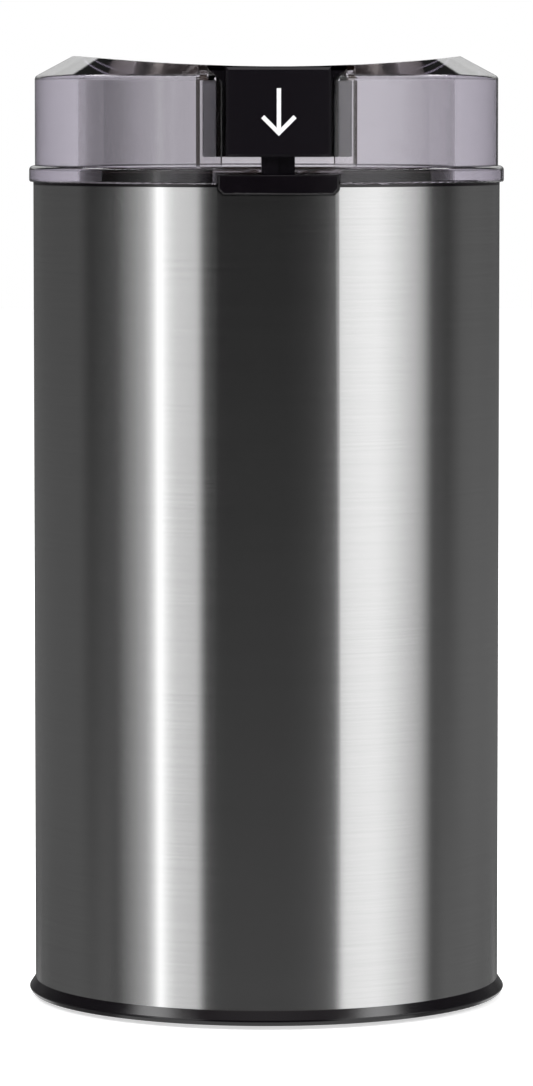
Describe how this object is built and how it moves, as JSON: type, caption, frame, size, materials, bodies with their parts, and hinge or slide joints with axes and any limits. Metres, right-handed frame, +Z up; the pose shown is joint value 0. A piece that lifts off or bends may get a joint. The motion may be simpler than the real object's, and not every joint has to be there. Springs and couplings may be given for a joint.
{
  "type": "electric coffee grinder",
  "caption": "Upright blade coffee grinder: brushed steel tube body with motor, steel bowl and blade, clear lift-off lid and a front push button that works the switch through a rod.",
  "frame": {"origin": "on the ground, under the middle of the body", "axes": "+Z up along the body, the button towards -Y, the cord inlet towards +Y"},
  "size_m": [0.0984, 0.0984, 0.1942],
  "materials": {
    "black_abs": "moulded satin black",
    "black_gloss": "moulded satin-gloss black",
    "clear_smoke": "clear, slightly smoke-tinted, polished",
    "brushed_sleeve": "stainless, brushed around the tube",
    "bowl_steel": "stainless, bright drawn",
    "black_rubber": "matt rubber",
    "zinc_steel": "zinc-plated steel",
    "ground_steel": "ground steel",
    "spring_steel": "drawn spring steel",
    "core_steel": "stacked electrical steel",
    "copper_wire": "enamelled copper wire",
    "copper_bar": "turned copper segments",
    "brass": "stamped brass",
    "bronze": "sintered bronze",
    "carbon": "pressed carbon",
    "phenolic": "phenolic moulding",
    "nylon": "natural nylon",
    "capacitor_case": "moulded case",
    "lead_jacket": "PVC insulation"
  },
  "bodies": {
    "base": {"base_cover": "black_abs", "base_screws": "zinc_steel", "bowl_bush": "nylon", "bridge_lead": "lead_jacket", "brush_holders": "brass", "brush_lead": "lead_jacket", "brush_springs": "spring_steel", "carbon_brushes": "carbon", "cord_gland": "black_rubber", "field_coils": "copper_wire", "field_lead": "lead_jacket", "grinding_bowl": "bowl_steel", "inner_housing": "black_abs", "lever_pin": "zinc_steel", "lower_bearing": "bronze", "lower_bracket": "phenolic", "motor_bolts": "zinc_steel", "motor_mounts": "black_rubber", "motor_nuts": "zinc_steel", "mount_screws": "zinc_steel", "rod_spring": "spring_steel", "rubber_feet": "black_rubber", "shaft_seal": "black_rubber", "stator_core": "core_steel", "steel_sleeve": "brushed_sleeve", "suppressor_capacitor": "capacitor_case", "switch_body": "phenolic", "switch_lead": "lead_jacket", "switch_screws": "zinc_steel", "switch_terminals": "brass", "terminal_block": "nylon", "terminal_screws": "zinc_steel", "top_collar": "black_abs", "upper_bearing": "bronze", "upper_bracket": "zinc_steel"},
    "lid": {"lid_shell": "clear_smoke", "button_spring": "spring_steel"},
    "button": {"press_button": "black_gloss"},
    "rod": {"push_rod": "nylon"},
    "lever": {"switch_lever": "spring_steel"},
    "plunger": {"switch_plunger": "nylon"},
    "rotor": {"motor_shaft": "ground_steel", "armature_core": "core_steel", "armature_winding": "copper_wire", "commutator": "copper_bar", "cooling_fan": "nylon", "thrust_washers": "ground_steel", "blade_hub": "nylon", "grinding_blade": "bowl_steel", "blade_nut": "zinc_steel"}
  },
  "joints": [
    {"name": "lid_lift", "type": "slide", "parent": "base", "child": "lid", "axis": [0, 0, 1], "range_m": [0, 0.07]},
    {"name": "button_press", "type": "slide", "parent": "lid", "child": "button", "axis": [0, 0, -1], "range_m": [0, 0.002], "stiffness_N_per_m": 300, "springref_m": -0.004, "deforming": ["button_spring"]},
    {"name": "rod_slide", "type": "slide", "parent": "base", "child": "rod", "axis": [0, 0, -1], "range_m": [0, 0.002], "deforming": ["rod_spring"]},
    {"name": "lever_turn", "type": "hinge", "parent": "base", "child": "lever", "pos_m": [0, -0.0276, 0.1124], "axis": [1, 0, 0], "range_deg": [0, 7.5]},
    {"name": "plunger_slide", "type": "slide", "parent": "base", "child": "plunger", "axis": [0, 0, -1], "range_m": [0, 0.0008]},
    {"name": "rotor_spin", "type": "hinge", "parent": "base", "child": "rotor", "pos_m": [0, 0, 0.1], "axis": [0, 0, 1], "continuous": true}
  ],
  "couplings": [
    {"joint": "rod_slide", "follows": "button_press", "ratio": 1},
    {"joint": "lever_turn", "follows": "button_press", "rad_per_m": 64.103},
    {"joint": "plunger_slide", "follows": "button_press", "ratio": 0.39744}
  ]
}
